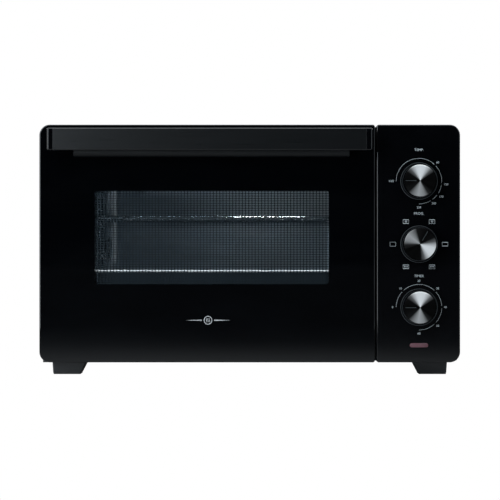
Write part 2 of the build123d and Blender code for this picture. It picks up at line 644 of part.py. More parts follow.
def make_door_frame():
    """Channel-section surround behind the glass, with solid hinge blocks in its lower corners."""
    y0, y1 = FACE + GLASS_T, DOOR_FRAME_BACK
    frame = slab(door_outline(), y0, y1)
    window_wall = slab(window_surround(SURROUND + DOOR_SKIN), y0, y1 + 1)
    frame -= slab(door_outline(DOOR_SKIN), y0 + DOOR_SKIN, y1 + 1) - window_wall
    frame -= slab(window_surround(SURROUND), y0 - 1, y1 + 1)
    for ear in HINGE_EAR_X.values():
        frame += block(ear - HINGE_BOSS_W / 2, ear + HINGE_BOSS_W / 2, y0, y1, BOTTOM, HINGE_Z + 16)
    frame -= Pos(0, y1, BOTTOM) * Rot(45, 0, 0) * Box(2 * WIDTH, 11.4, 11.4)
    for ear in HINGE_EAR_X.values():
        notch = HINGE_NOTCH_W / 2
        frame -= block(ear - notch, ear + notch, HINGE_Y - 7, y1 + 1, BOTTOM - 1, HINGE_Z + 8)
        frame -= rod_x(ear - PIN_L / 2, ear + PIN_L / 2, HINGE_Y, HINGE_Z, PIN_R)
    for x, z in handle_screw_spots():
        frame -= rod_y(y0 - 1, y0 + 4, x, z, SCREW_HOLE_R)
    return frame


def make_inner_panel():
    outline = rounded(LEFT + 6, DOOR_RIGHT - 6, HINGE_Z + 18, HEIGHT - 6, 7, 3)
    sheet = slab(outline, DOOR_FRAME_BACK, DOOR_FRAME_BACK + INNER_PANEL_T)
    return sheet - slab(window_surround(SURROUND), DOOR_FRAME_BACK - 1, FRAME_FRONT)


def make_hinge_pins():
    return [rod_x(ear - PIN_L / 2, ear + PIN_L / 2, HINGE_Y, HINGE_Z, PIN_R) for ear in HINGE_EAR_X.values()]


def make_hinge_bracket(ear):
    """Plate behind the front frame with an ear that reaches forward round the hinge pin."""
    inner = ear - 5 if ear > 0 else ear - 11  # clear of the cavity's right wall
    plate = block(inner, ear + 11, FRAME_BACK, FRAME_BACK + 3, PAN_TOP, HINGE_Z + 14)
    x0, x1 = ear - EAR_T / 2, ear + EAR_T / 2
    arm = block(x0, x1, HINGE_Y, FRAME_BACK, HINGE_Z - 6, HINGE_Z + 6) + rod_x(x0, x1, HINGE_Y, HINGE_Z, 6)
    return plate + arm - rod_x(ear - 5, ear + 5, HINGE_Y, HINGE_Z, PIN_R + RUNNING)


def make_door_spring(ear):
    """Torsion coil on the hinge pin, beside the ear."""
    wire, coil_r, turns = 0.55, 4.2, 2
    start = ear + EAR_T / 2 + 0.7
    path = Helix(pitch=1.15, height=1.15 * turns, radius=coil_r)
    coil = sweep(Plane(path @ 0, z_dir=path % 0) * Circle(wire), path)
    return Pos(start, HINGE_Y, HINGE_Z) * Rot(0, 90, 0) * coil


def make_handle_bar():
    bar = block(BAR_X0, BAR_X1, FRONT, FRONT + BAR_T, BAR_Z0, BAR_Z1)
    return fillet(bar.edges().filter_by(Axis.X).group_by(Axis.Y)[0], BAR_EDGE_R)


def make_handle_caps():
    caps = []
    for x0, x1, outer in ((BAR_X0 - CAP_W, BAR_X0, 0), (BAR_X1, BAR_X1 + CAP_W, -1)):
        cap = block(x0, x1, FRONT, FRONT + BAR_T, BAR_Z0, BAR_Z1)
        cap = fillet(cap.edges().filter_by(Axis.X).group_by(Axis.Y)[0], BAR_EDGE_R)
        cap = fillet(cap.edges().filter_by(Axis.Z).group_by(Axis.X)[outer], 2.0)
        caps.append(cap)
    return caps


def make_handle_grip():
    """Finger lip behind the bar: a rounded edge that hangs a little lower."""
    y0, y1 = FRONT + BAR_T, FRONT + BAR_T + GRIP_T
    r = GRIP_T / 2
    top, low = BAR_Z1 - 3, GRIP_BOTTOM + r
    outline = make_face(
        Line((y0, top), (y0, low))
        + ThreePointArc((y0, low), (y0 + r, GRIP_BOTTOM), (y1, low))
        + Line((y1, low), (y1, top))
        + Line((y1, top), (y0, top))
    )
    grip = side_slab(outline, GRIP_X0, GRIP_X1)
    ends = grip.edges().group_by(Axis.X)
    return fillet(ends[0] + ends[-1], 1.2)


def make_standoff(x0, x1):
    z0, z1 = BAR_Z0 + 2, BAR_Z1 - 2
    post = block(x0, x1, FRONT + BAR_T, FACE, z0, z1)
    post = fillet(post.edges().filter_by(Axis.Y), 3)
    x, z = min(handle_screw_spots(), key=lambda spot: abs(spot[0] - (x0 + x1) / 2))
    return post - rod_y(FACE - 13, FACE + 1, x, z, SCREW_R)


def make_handle_screws():
    y = FACE + GLASS_T + DOOR_SKIN
    screws = []
    for x, z in handle_screw_spots():
        screw = rod_y(FACE - 12, y, x, z, SCREW_R) + rod_y(y, y + 2.4, x, z, SCREW_HEAD_R)
        screws.append(cross_recess(screw, y + 2.4, x, z))
    return screws


# ---------------------------------------------------------------- rack and tray
def make_rack():
    """Wire rack: a rod rectangle with wires across its front and back rods, turned down in front."""
    z = RACK_LEDGES[2] + RACK_ROD + 0.1
    x0, x1 = CAV_X0 + 4, CAV_X1 - 4
    y0, y1 = RACK_FRONT + RACK_ROD, RACK_BACK
    rack = Part() + [rod_x(x0, x1, y, z, RACK_ROD) for y in (y0, y1)]
    rack += [rod_y(y0, y1, x, z, RACK_ROD) for x in (x0, x1)]
    rack += [Pos(x, y, z) * Sphere(RACK_ROD) for x in (x0, x1) for y in (y0, y1)]
    middle = (x0 + x1) / 2
    top = z + RACK_ROD + RACK_WIRE - 0.9
    for i in range(-5, 6):
        x = middle + i * RACK_PITCH
        rack += rod_y(y0, y1, x, top, RACK_WIRE)
        rack += [Pos(x, y, top) * Sphere(RACK_WIRE) for y in (y0, y1)]
    rack += [rod_x(x0, x1, y, top - 2 * RACK_WIRE + 0.4, RACK_WIRE) for y in (-45, 60)]
    return rack


def make_tray():
    """Pressed baking tray that hangs by its rim on the middle ledges."""
    z1 = RACK_LEDGES[1] + 0.2
    x0, x1 = CAV_X0 + LEDGE_OUT + 1, CAV_X1 - LEDGE_OUT - 1
    y0, y1 = RACK_FRONT + 8, RACK_BACK - 2
    middle = Pos((x0 + x1) / 2, (y0 + y1) / 2, z1)
    w, d = x1 - x0, y1 - y0
    inside = middle * RectangleRounded(w - 2 * TRAY_T, d - 2 * TRAY_T, 15)
    brim = RectangleRounded(w + 2 * TRAY_RIM, d + 2 * TRAY_RIM, 12)
    tray = extrude(middle * RectangleRounded(w, d, 16), -TRAY_DEPTH, taper=8)
    tray += extrude(middle * brim, TRAY_BEAD)
    tray -= Pos(0, 0, TRAY_T) * extrude(middle * offset(brim, -2 * TRAY_T), TRAY_BEAD)
    tray -= extrude(inside, -(TRAY_DEPTH - TRAY_T), taper=8)
    return tray - extrude(inside, TRAY_BEAD)


# ---------------------------------------------------------------- assembly
def build():
    pieces["base_pan"] = make_base_pan()
    pieces["outer_wrap"] = make_outer_wrap()
    pieces["rear_panel"] = make_rear_panel()
    pieces["front_frame"] = make_front_frame()
    pieces["cavity_left_wall"] = make_side_wall(CAV_X0, 1)
    pieces["cavity_right_wall"] = make_right_wall()
    pieces["cavity_ceiling"] = make_ceiling()
    pieces["cavity_floor"] = cavity_plan(CAV_Z0 - SHEET, SHEET)
    pieces["cavity_back_wall"] = make_back_wall()
    pieces["crumb_tray"] = make_crumb_tray()
    pieces["lower_heaters"] = make_heaters(HEATER_Z[0])
    pieces["upper_heaters"] = make_heaters(HEATER_Z[1])
    pieces["heater_insulators"] = make_insulators()
    pieces["rotisserie_bracket"] = make_spit_bracket()
    pieces["fan_housing"] = make_fan_housing()
    pieces["convection_fan"] = fan_wheel(CAV_X1 + 4, CAV_X1 + 13, 40, 10, 6)
    pieces["motor_cooling_fan"] = fan_wheel(SHIELD_X - 7, SHIELD_X - 2, 34, 8, 5)
    pieces["fan_shaft"] = make_fan_shaft()
    pieces["fan_motor"] = make_fan_motor()
    pieces["heat_shield"] = make_heat_shield()
    pieces["rotisserie_motor"] = make_spit_motor()
    pieces["rotisserie_coupling"] = make_spit_coupling()
    pieces["control_fascia"] = make_fascia()
    pieces["control_bracket"] = make_control_bracket()
    pieces["thermostat"] = make_thermostat()
    pieces["function_switch"] = make_function_switch()
    pieces["timer"] = make_timer()
    pieces["timer_bell"] = make_bell()
    for name, z in KNOB_Z.items():
        pieces[f"{name}_knob"] = make_knob(z)
        pieces[f"{name}_knob_trim"] = make_knob_trim(z, POINTER_DEG[name])
        pieces[f"{name}_shaft"] = make_control_shaft(z)
    pieces["lamp_lens"] = make_lamp_lens()
    pieces["lamp_holder"] = make_lamp_holder()
    pieces["terminal_block"] = make_terminal_block()
    pieces["cord_gland"] = make_cord_gland()
    for end in FOOT_Y:
        pieces[f"{end}_feet"] = [make_foot(side, end) for side in SIDES]
    pieces["foot_pads"] = make_foot_pads()
    pieces["foot_screws"] = make_foot_screws()
    pieces["rear_panel_screws"] = make_rear_screws()
    pieces["door_glass"] = make_door_glass()
    pieces["door_frame"] = make_door_frame()
    pieces["door_inner_panel"] = make_inner_panel()
    pieces["hinge_pins"] = make_hinge_pins()
    for side, ear in HINGE_EAR_X.items():
        pieces[f"hinge_bracket_{side}"] = make_hinge_bracket(ear)
    pieces["door_springs"] = [make_door_spring(ear) for ear in HINGE_EAR_X.values()]
    pieces["handle_bar"] = make_handle_bar()
    pieces["handle_end_caps"] = make_handle_caps()
    pieces["handle_grip"] = make_handle_grip()
    pieces["handle_standoffs"] = [make_standoff(BAR_X0 + 2, GRIP_X0), make_standoff(GRIP_X1, BAR_X1)]
    pieces["handle_screws"] = make_handle_screws()
    pieces["wire_rack"] = make_rack()
    pieces["baking_tray"] = make_tray()


build()
os.makedirs("parts", exist_ok=True)
for name, shape in pieces.items():
    solids = shape if isinstance(shape, list) else list(shape.solids())
    export_step(Compound(children=[Solid(s.solids()[0].wrapped) for s in solids]), f"parts/{name}.step")
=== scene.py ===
"""Looks for the countertop toaster oven: materials, printed marks, window screen, light and camera."""

import json
import math

import bpy
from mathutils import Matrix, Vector


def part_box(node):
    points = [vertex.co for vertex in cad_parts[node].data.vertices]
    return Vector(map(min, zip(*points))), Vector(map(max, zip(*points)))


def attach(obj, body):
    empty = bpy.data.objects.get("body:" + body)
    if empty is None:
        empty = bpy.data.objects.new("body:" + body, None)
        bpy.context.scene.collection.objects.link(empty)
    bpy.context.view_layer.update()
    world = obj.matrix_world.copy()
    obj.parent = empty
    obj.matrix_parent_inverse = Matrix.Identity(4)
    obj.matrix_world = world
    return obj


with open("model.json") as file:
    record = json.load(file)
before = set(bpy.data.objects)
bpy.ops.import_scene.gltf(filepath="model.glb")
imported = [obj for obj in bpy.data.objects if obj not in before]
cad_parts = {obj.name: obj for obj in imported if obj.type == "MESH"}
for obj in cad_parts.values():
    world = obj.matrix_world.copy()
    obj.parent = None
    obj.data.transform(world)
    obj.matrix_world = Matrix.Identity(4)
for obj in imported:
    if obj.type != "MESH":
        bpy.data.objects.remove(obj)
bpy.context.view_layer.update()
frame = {"nodes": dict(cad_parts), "record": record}
nodes = frame["nodes"]

MM = 0.001
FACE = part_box("control_fascia")[0].y
GLASS_FRONT, GLASS_BACK = (corner.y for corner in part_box("door_glass"))
PRINT_GAP = 0.06 * MM                     # printed marks lie this close in front of the fascia
WINDOW = (-0.1785, 0.091, 0.105, 0.2125)  # clear window in the glass: x0, x1, z0, z1
WINDOW_R = 3 * MM


# ---------------------------------------------------------------- shader building
class Shader:
    """A material being put together. A plain value goes on the socket itself, a socket is linked."""

    def __init__(self, name):
        self.material = bpy.data.materials.new(name)
        self.material.use_nodes = True
        self.tree = self.material.node_tree
        self.tree.nodes.clear()
        self.place = self.new("ShaderNodeTexCoord").outputs["Object"]

    def new(self, kind, settings=None, **inputs):
        node = self.tree.nodes.new(kind)
        for key, value in (settings or {}).items():
            setattr(node, key, value)
        for key, value in inputs.items():
            self.put(node.inputs[key.replace("_", " ")], value)
        return node

    def put(self, socket, value):
        if isinstance(value, bpy.types.NodeSocket):
            self.tree.links.new(value, socket)
        else:
            socket.default_value = value

    def math(self, operation, a, b=0.0, clamp=False):
        node = self.new("ShaderNodeMath", {"operation": operation, "use_clamp": clamp})
        self.put(node.inputs[0], a)
        self.put(node.inputs[1], b)
        return node.outputs[0]

    def axes(self, vector=None):
        split = self.new("ShaderNodeSeparateXYZ")
        self.put(split.inputs[0], vector or self.place)
        return split.outputs

    def scaled(self, x, y, z):
        """The place on the piece, squeezed by a factor on each axis."""
        return self.new("ShaderNodeMapping", Vector=self.place, Scale=(x, y, z)).outputs[0]

    def noise(self, scale, detail=3.0, roughness=0.55, vector=None):
        node = self.new("ShaderNodeTexNoise", Scale=scale, Detail=detail, Roughness=roughness)
        self.put(node.inputs["Vector"], vector or self.place)
        return node.outputs["Fac"]

    def cells(self, scale):
        node = self.new("ShaderNodeTexVoronoi", Scale=scale)
        self.put(node.inputs["Vector"], self.place)
        return node

    def span(self, value, low, high, start=0.0, end=1.0):
        """value, moved from low..high to start..end and held there."""
        node = self.new("ShaderNodeMapRange", {"clamp": True}, Value=value)
        for key, given in (("From Min", low), ("From Max", high), ("To Min", start), ("To Max", end)):
            self.put(node.inputs[key], given)
        return node.outputs[0]

    def ramp(self, value, stops):
        """Colours or greys at (position, colour) stops, with even steps between them."""
        node = self.new("ShaderNodeValToRGB", Fac=value)
        elements = node.color_ramp.elements
        while len(elements) < len(stops):
            elements.new(1.0)
        for element, (position, _) in zip(elements, stops):
            element.position = position
        for element, (_, colour) in zip(elements, stops):
            element.color = (*colour, 1) if isinstance(colour, tuple) else (colour, colour, colour, 1)
        return node.outputs["Color"]

    def blend(self, share, a, b):
        """Colour a where share is 0, colour b where it is 1."""
        node = self.new("ShaderNodeMix", {"data_type": "RGBA"})
        self.put(node.inputs[0], share)
        for socket, colour in ((node.inputs[6], a), (node.inputs[7], b)):
            self.put(socket, colour if isinstance(colour, bpy.types.NodeSocket) else (*colour, 1))
        return node.outputs[2]

    def bump(self, height, distance):
        return self.new("ShaderNodeBump", Strength=1.0, Distance=distance, Height=height).outputs[0]

    def multiply(self, a, b):
        return self.math("MULTIPLY", a, b)

    def length(self, a, b):
        """Length of the flat vector (a, b)."""
        return self.math("SQRT", self.math("ADD", self.math("POWER", a, 2.0), self.math("POWER", b, 2.0)))

    def edges(self, radius):
        """1 along the piece's sharp edges, 0 on its faces."""
        soft = self.new("ShaderNodeBevel", {"samples": 4}, Radius=radius).outputs[0]
        true = self.new("ShaderNodeNewGeometry").outputs["Normal"]
        dot = self.new("ShaderNodeVectorMath", {"operation": "DOT_PRODUCT"})
        self.put(dot.inputs[0], soft)
        self.put(dot.inputs[1], true)
        return self.span(dot.outputs["Value"], 0.995, 0.9)

    def principled(self, **inputs):
        return self.new("ShaderNodeBsdfPrincipled", **inputs)

    def finish(self, shader):
        out = self.new("ShaderNodeOutputMaterial")
        self.put(out.inputs["Surface"], shader.outputs[0])
        return self.material


def coated(name, dark, light, rough, grain, relief, edge_highlight_and_wear):
    """Paint, enamel or moulded plastic: mottled colour, uneven roughness, a fine grain, and lighter edges
    that are partly rubbed wear and partly a painted highlight.
    """
    s = Shader(name)
    cloud = s.noise(14, 4)
    colour = s.blend(s.span(cloud, 0.3, 0.7), dark, light)
    # painted highlight along the sharp edges, broken up by noise like rubbed wear
    edge_highlight_and_rubbing = s.multiply(s.edges(0.9 * MM), s.span(s.noise(90, 3), 0.35, 0.75))
    colour = s.blend(edge_highlight_and_rubbing, colour, edge_highlight_and_wear)
    smears = s.span(s.noise(35, 5, 0.65), 0.3, 0.75, rough[0], rough[1])
    normal = s.bump(s.noise(grain, 2), relief)
    return s.finish(s.principled(Base_Color=colour, Roughness=smears, Normal=normal))


def sheet_metal(name, colour, tint, rough, along=(1, 1, 1), spangle=0.0, stain=None):
    """Rolled sheet: drawn streaks along one axis, a crystalline spangle, and stains where it gets hot."""
    s = Shader(name)
    streak = s.noise(260, 3, 0.6, s.scaled(*along))
    tone = s.blend(s.span(streak, 0.3, 0.7), colour, tint)
    if spangle:
        flakes = s.cells(110).outputs["Color"]
        tone = s.blend(s.multiply(s.axes(flakes)[0], spangle), tone, tuple(c * 0.55 for c in colour))
    if stain:
        tone = s.blend(s.span(s.noise(7, 4), 0.52, 0.78, 0, 0.8), tone, stain)
    roughness = s.span(s.math("ADD", streak, s.noise(20, 3)), 0.6, 1.4, rough[0], rough[1])
    normal = s.bump(streak, 0.012 * MM)
    return s.finish(s.principled(Base_Color=tone, Metallic=1.0, Roughness=roughness, Normal=normal))


def cast_or_fired(name, colour, speck, rough):
    """Ceramic, nylon or phenolic: pale body with darker specks and a dull skin."""
    s = Shader(name)
    specks = s.span(s.cells(900).outputs["Distance"], 0.05, 0.25)
    tone = s.blend(specks, speck, colour)
    tone = s.blend(s.span(s.noise(60, 4), 0.4, 0.8, 0, 0.35), tone, speck)
    roughness = s.span(s.noise(120, 3), 0.3, 0.7, rough[0], rough[1])
    normal = s.bump(s.noise(1400, 2), 0.02 * MM)
    return s.finish(s.principled(Base_Color=tone, Roughness=roughness, Normal=normal))


def inside_rounded(s, x0, x1, z0, z1, r):
    """1 inside a rectangle with round corners, seen from the front, and 0 outside it."""
    at = s.axes()
    sides = []
    for value, low, high in ((at["X"], x0, x1), (at["Z"], z0, z1)):
        off = s.math("ABSOLUTE", s.math("SUBTRACT", value, (low + high) / 2))
        sides.append(s.math("MAXIMUM", s.math("SUBTRACT", off, (high - low) / 2 - r), 0.0))
    return s.math("LESS_THAN", s.length(*sides), r)


def door_glass_material():
    """One pane: black print behind it all round, and a clear smoked window in the middle."""
    s = Shader("door_glass_finish")
    wipe = s.noise(9, 5, 0.6, s.scaled(1, 1, 3))
    black = s.principled(
        Base_Color=s.blend(s.span(wipe, 0.4, 0.7), (0.0006, 0.0008, 0.0012), (0.0012, 0.0015, 0.002)),
        Roughness=s.span(wipe, 0.35, 0.75, 0.015, 0.045),
        IOR=1.45,
    )
    clear = s.new("ShaderNodeBsdfTransparent", Color=(0.74, 0.78, 0.8, 1))
    shine = s.new("ShaderNodeBsdfGlossy", Color=(0.9, 0.9, 0.9, 1))
    s.put(shine.inputs["Roughness"], s.span(wipe, 0.35, 0.75, 0.02, 0.06))
    front = s.math("SUBTRACT", 1.0, s.new("ShaderNodeNewGeometry").outputs["Backfacing"])
    mirror = s.multiply(s.new("ShaderNodeFresnel", IOR=1.45).outputs[0], front)
    pane = s.new("ShaderNodeMixShader")
    s.put(pane.inputs[0], mirror)
    s.put(pane.inputs[1], clear.outputs[0])
    s.put(pane.inputs[2], shine.outputs[0])
    both = s.new("ShaderNodeMixShader")
    s.put(both.inputs[0], inside_rounded(s, *WINDOW, WINDOW_R))
    s.put(both.inputs[1], black.outputs[0])
    s.put(both.inputs[2], pane.outputs[0])
    return s.finish(both)


def gloss_black(name):
    """High-gloss moulding with a faint orange peel."""
    s = Shader(name)
    cloud = s.noise(10, 4)
    normal = s.bump(s.noise(230, 2), 0.0025 * MM)
    shader = s.principled(
        Base_Color=s.blend(s.span(cloud, 0.35, 0.7), (0.0008, 0.001, 0.0014), (0.0018, 0.002, 0.0026)),
        Roughness=s.span(s.noise(26, 4), 0.35, 0.75, 0.035, 0.1),
        Normal=normal,
        IOR=1.45,
    )
    return s.finish(shader)


DISC_R = 18.9 * MM          # rim of the bright disc
RING_R = 20.7 * MM          # inside of the thin pale ring round it
POINTER_FROM, POINTER_TO = 4.5 * MM, 17 * MM
POINTER_HALF = 0.35 * MM
PAINTED_HIGHLIGHT_FANS = (                    # painted highlight: how light the disc is at each angle, in degrees, with the pointer at 180, in place of the reflections of the lights
    (0, 0.003), (32, 0.004), (46, 0.12), (58, 0.5), (70, 0.78), (88, 0.86), (106, 0.78), (118, 0.5),
    (130, 0.12), (146, 0.006), (176, 0.003), (200, 0.005), (224, 0.01), (240, 0.2), (262, 0.4), (286, 0.28),
    (302, 0.02), (322, 0.002), (345, 0.004), (360, 0.003),
)


def spun_face_with_painted_fans(name, centre, pointer_deg):
    """Spun aluminium disc: fine rings, and painted light and dark fans in place of the reflections that
    circular turning gives.
    """
    s = Shader(name)
    fade = 0.2 * MM
    at = s.axes()
    x = s.math("SUBTRACT", at["X"], centre[0])
    z = s.math("SUBTRACT", at["Z"], centre[1])
    radius = s.length(x, z)
    turn = s.math("DIVIDE", s.math("ARCTAN2", z, x), math.tau)
    turn = s.math("FRACT", s.math("ADD", turn, 2 + (180 - pointer_deg) / 360))
    # painted highlight: the disc's colour is set light or dark by the angle round its middle, dark between
    # the fans
    fan = s.ramp(turn, [(degrees / 360, tone) for degrees, tone in PAINTED_HIGHLIGHT_FANS])
    fan = s.blend(s.span(radius, DISC_R, DISC_R + fade / 2), fan, (0.003, 0.003, 0.0035))
    fan = s.blend(s.span(radius, RING_R, RING_R + fade), fan, (0.085, 0.094, 0.1))
    cos, sin = math.cos(math.radians(pointer_deg)), math.sin(math.radians(pointer_deg))
    along = s.math("ADD", s.multiply(x, cos), s.multiply(z, sin))
    across = s.math("SUBTRACT", s.multiply(x, sin), s.multiply(z, cos))
    line = s.math("LESS_THAN", s.math("ABSOLUTE", across), POINTER_HALF)
    line = s.multiply(line, s.span(along, POINTER_FROM, POINTER_FROM + fade))
    line = s.multiply(line, s.span(along, POINTER_TO, POINTER_TO - fade))
    fan = s.blend(line, fan, (0.09, 0.1, 0.105))
    grooves = s.new("ShaderNodeCombineXYZ", X=s.multiply(radius, 9000.0)).outputs[0]
    rings = s.noise(1.0, 3, 0.7, grooves)
    tone = s.new("ShaderNodeMix", {"data_type": "RGBA", "blend_type": "MULTIPLY"})
    s.put(tone.inputs[0], 0.5)
    s.put(tone.inputs[6], fan)
    s.put(tone.inputs[7], s.ramp(rings, [(0.3, 0.55), (0.7, 1.0)]))
    shader = s.principled(
        Base_Color=tone.outputs[2],
        Metallic=0.3,
        Roughness=s.span(rings, 0.3, 0.7, 0.3, 0.45),
        Normal=s.bump(rings, 0.006 * MM),
    )
    shader.inputs["Specular IOR Level"].default_value = 0.0
    return s.finish(shader)


def lens_material():
    """Dull red lens with fine vertical ribs, fading at its left end."""
    s = Shader("lamp_lens_finish")
    x = s.axes()["X"]
    lo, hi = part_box("lamp_lens")
    ribs = s.math("SINE", s.multiply(x, math.tau / (0.7 * MM)))
    colour = s.blend(s.span(x, lo.x, hi.x), (0.14, 0.048, 0.065), (0.07, 0.013, 0.021))
    colour = s.blend(s.span(s.noise(300, 3), 0.35, 0.7, 0, 0.4), colour, (0.1, 0.03, 0.04))
    shader = s.principled(
        Base_Color=colour,
        Roughness=s.span(ribs, -1, 1, 0.12, 0.3),
        Normal=s.bump(ribs, 0.05 * MM),
        IOR=1.49,
    )
    return s.finish(shader)


def heater_material():
    """Steel sheath darkened by heat, straw and blue towards its cool ends."""
    s = Shader("heater_sheath_finish")
    x = s.math("ABSOLUTE", s.axes()["X"])
    dark, brown, blue = (0.05, 0.047, 0.045), (0.09, 0.075, 0.07), (0.12, 0.13, 0.2)
    straw, bare = (0.3, 0.22, 0.12), (0.4, 0.39, 0.38)
    hot = s.ramp(s.span(x, 0.07, 0.195), [(0, dark), (0.6, brown), (0.8, blue), (0.9, straw), (1, bare)])
    colour = s.blend(s.span(s.noise(160, 4), 0.35, 0.75, 0, 0.5), hot, (0.03, 0.028, 0.027))
    roughness = s.span(s.noise(220, 3), 0.3, 0.7, 0.35, 0.6)
    normal = s.bump(s.noise(700, 2), 0.02 * MM)
    return s.finish(s.principled(Base_Color=colour, Metallic=0.85, Roughness=roughness, Normal=normal))


def rubber_material():
    s = Shader("rubber_finish")
    grain = s.noise(1600, 2)
    dusty = s.blend(s.span(s.noise(80, 4), 0.45, 0.8), (0.018, 0.018, 0.019), (0.05, 0.05, 0.048))
    roughness = s.span(grain, 0.3, 0.7, 0.75, 0.95)
    return s.finish(s.principled(Base_Color=dusty, Roughness=roughness, Normal=s.bump(grain, 0.05 * MM)))


def printed_ink(name, tone):
    """White ink with thin spots."""
    s = Shader(name)
    thin = s.span(s.noise(1500, 3), 0.3, 0.55, 0.75, 1.0)
    colour = s.blend(thin, tuple(0.4 * c for c in tone), tone)
    return s.finish(s.principled(Base_Color=colour, Roughness=s.span(s.noise(500, 2), 0.3, 0.7, 0.4, 0.6)))


def bright_metal(name, colour, rough, grain=600, relief=0.004 * MM):
    """Plated wire, pins and screws: clear reflections broken by fine marks."""
    s = Shader(name)
    marks = s.noise(grain, 4, 0.65)
    tone = s.blend(s.span(marks, 0.3, 0.75), colour, tuple(0.7 * c for c in colour))
    roughness = s.span(s.noise(150, 4), 0.3, 0.7, rough[0], rough[1])
    normal = s.bump(marks, relief)
    return s.finish(s.principled(Base_Color=tone, Metallic=1.0, Roughness=roughness, Normal=normal))


def handle_metal():
    """Black anodised bar, brushed lengthwise."""
    s = Shader("handle_metal_finish")
    brush = s.noise(420, 4, 0.6, s.scaled(0.02, 1, 1))
    tone = s.blend(s.span(brush, 0.3, 0.7), (0.0012, 0.0016, 0.002), (0.002, 0.0025, 0.003))
    dull = s.math("ADD", s.span(brush, 0.3, 0.7, 0.272, 0.288), s.multiply(s.edges(1.0 * MM), 0.3))
    return s.finish(s.principled(Base_Color=tone, Roughness=dull, Normal=s.bump(brush, 0.0004 * MM)))


def grip_material():
    """Satin moulding of the finger grip, with painted shading: palest at its top, under the bar, and darker
    towards its bottom.
    """
    s = Shader("handle_grip_finish")
    low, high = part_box("handle_grip")
    # painted shading: lighter at the top under the bar, darker towards the bottom, with a random mottle taken
    # off
    shade = s.span(s.axes()["Z"], low.z, high.z)
    mottle = s.span(s.noise(60, 3), 0.3, 0.7, 0.0, 0.3)
    tone = s.blend(s.math("SUBTRACT", shade, mottle, True), (0.0015, 0.002, 0.0026), (0.0085, 0.0098, 0.0115))
    roughness = s.span(s.noise(26, 4), 0.35, 0.75, 0.5, 0.6)
    shader = s.principled(Base_Color=tone, Roughness=roughness, Normal=s.bump(s.noise(900, 2), 0.01 * MM))
    shader.inputs["Specular IOR Level"].default_value = 0.25
    return s.finish(shader)


def tray_material():
    """Pressed steel tray: bare bright rim, dark coat with faint rubs below it."""
    s = Shader("tray_finish")
    coat_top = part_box("baking_tray")[1].z - 2.6 * MM
    bare = s.span(s.axes()["Z"], coat_top, coat_top + 0.2 * MM)
    streak = s.noise(260, 3, 0.6, s.scaled(0.2, 1, 1))
    rubs = s.span(s.noise(70, 4), 0.45, 0.8, 0, 0.7)
    coat = s.blend(rubs, (0.055, 0.065, 0.077), (0.07, 0.082, 0.095))
    bright = s.blend(s.span(streak, 0.3, 0.7), (0.7, 0.72, 0.74), (0.82, 0.84, 0.86))
    dull = s.math("SUBTRACT", s.span(streak, 0.3, 0.7, 0.55, 0.65), s.multiply(bare, 0.25))
    shader = s.principled(
        Base_Color=s.blend(bare, coat, bright),
        Metallic=s.multiply(bare, 0.3),
        Roughness=dull,
        Normal=s.bump(streak, 0.01 * MM),
    )
    shader.inputs["Specular IOR Level"].default_value = 0.1
    return s.finish(shader)


def screen_material():
    """Perforated sheet behind the window: dull grey paint on steel."""
    s = Shader("window_screen_finish")
    cloud = s.noise(30, 4)
    colour = s.blend(s.span(cloud, 0.3, 0.7), (0.03, 0.036, 0.041), (0.042, 0.049, 0.055))
    roughness = s.span(s.noise(300, 3), 0.3, 0.7, 0.4, 0.6)
    normal = s.bump(s.noise(900, 2), 0.01 * MM)
    return s.finish(s.principled(Base_Color=colour, Metallic=0.3, Roughness=roughness, Normal=normal))


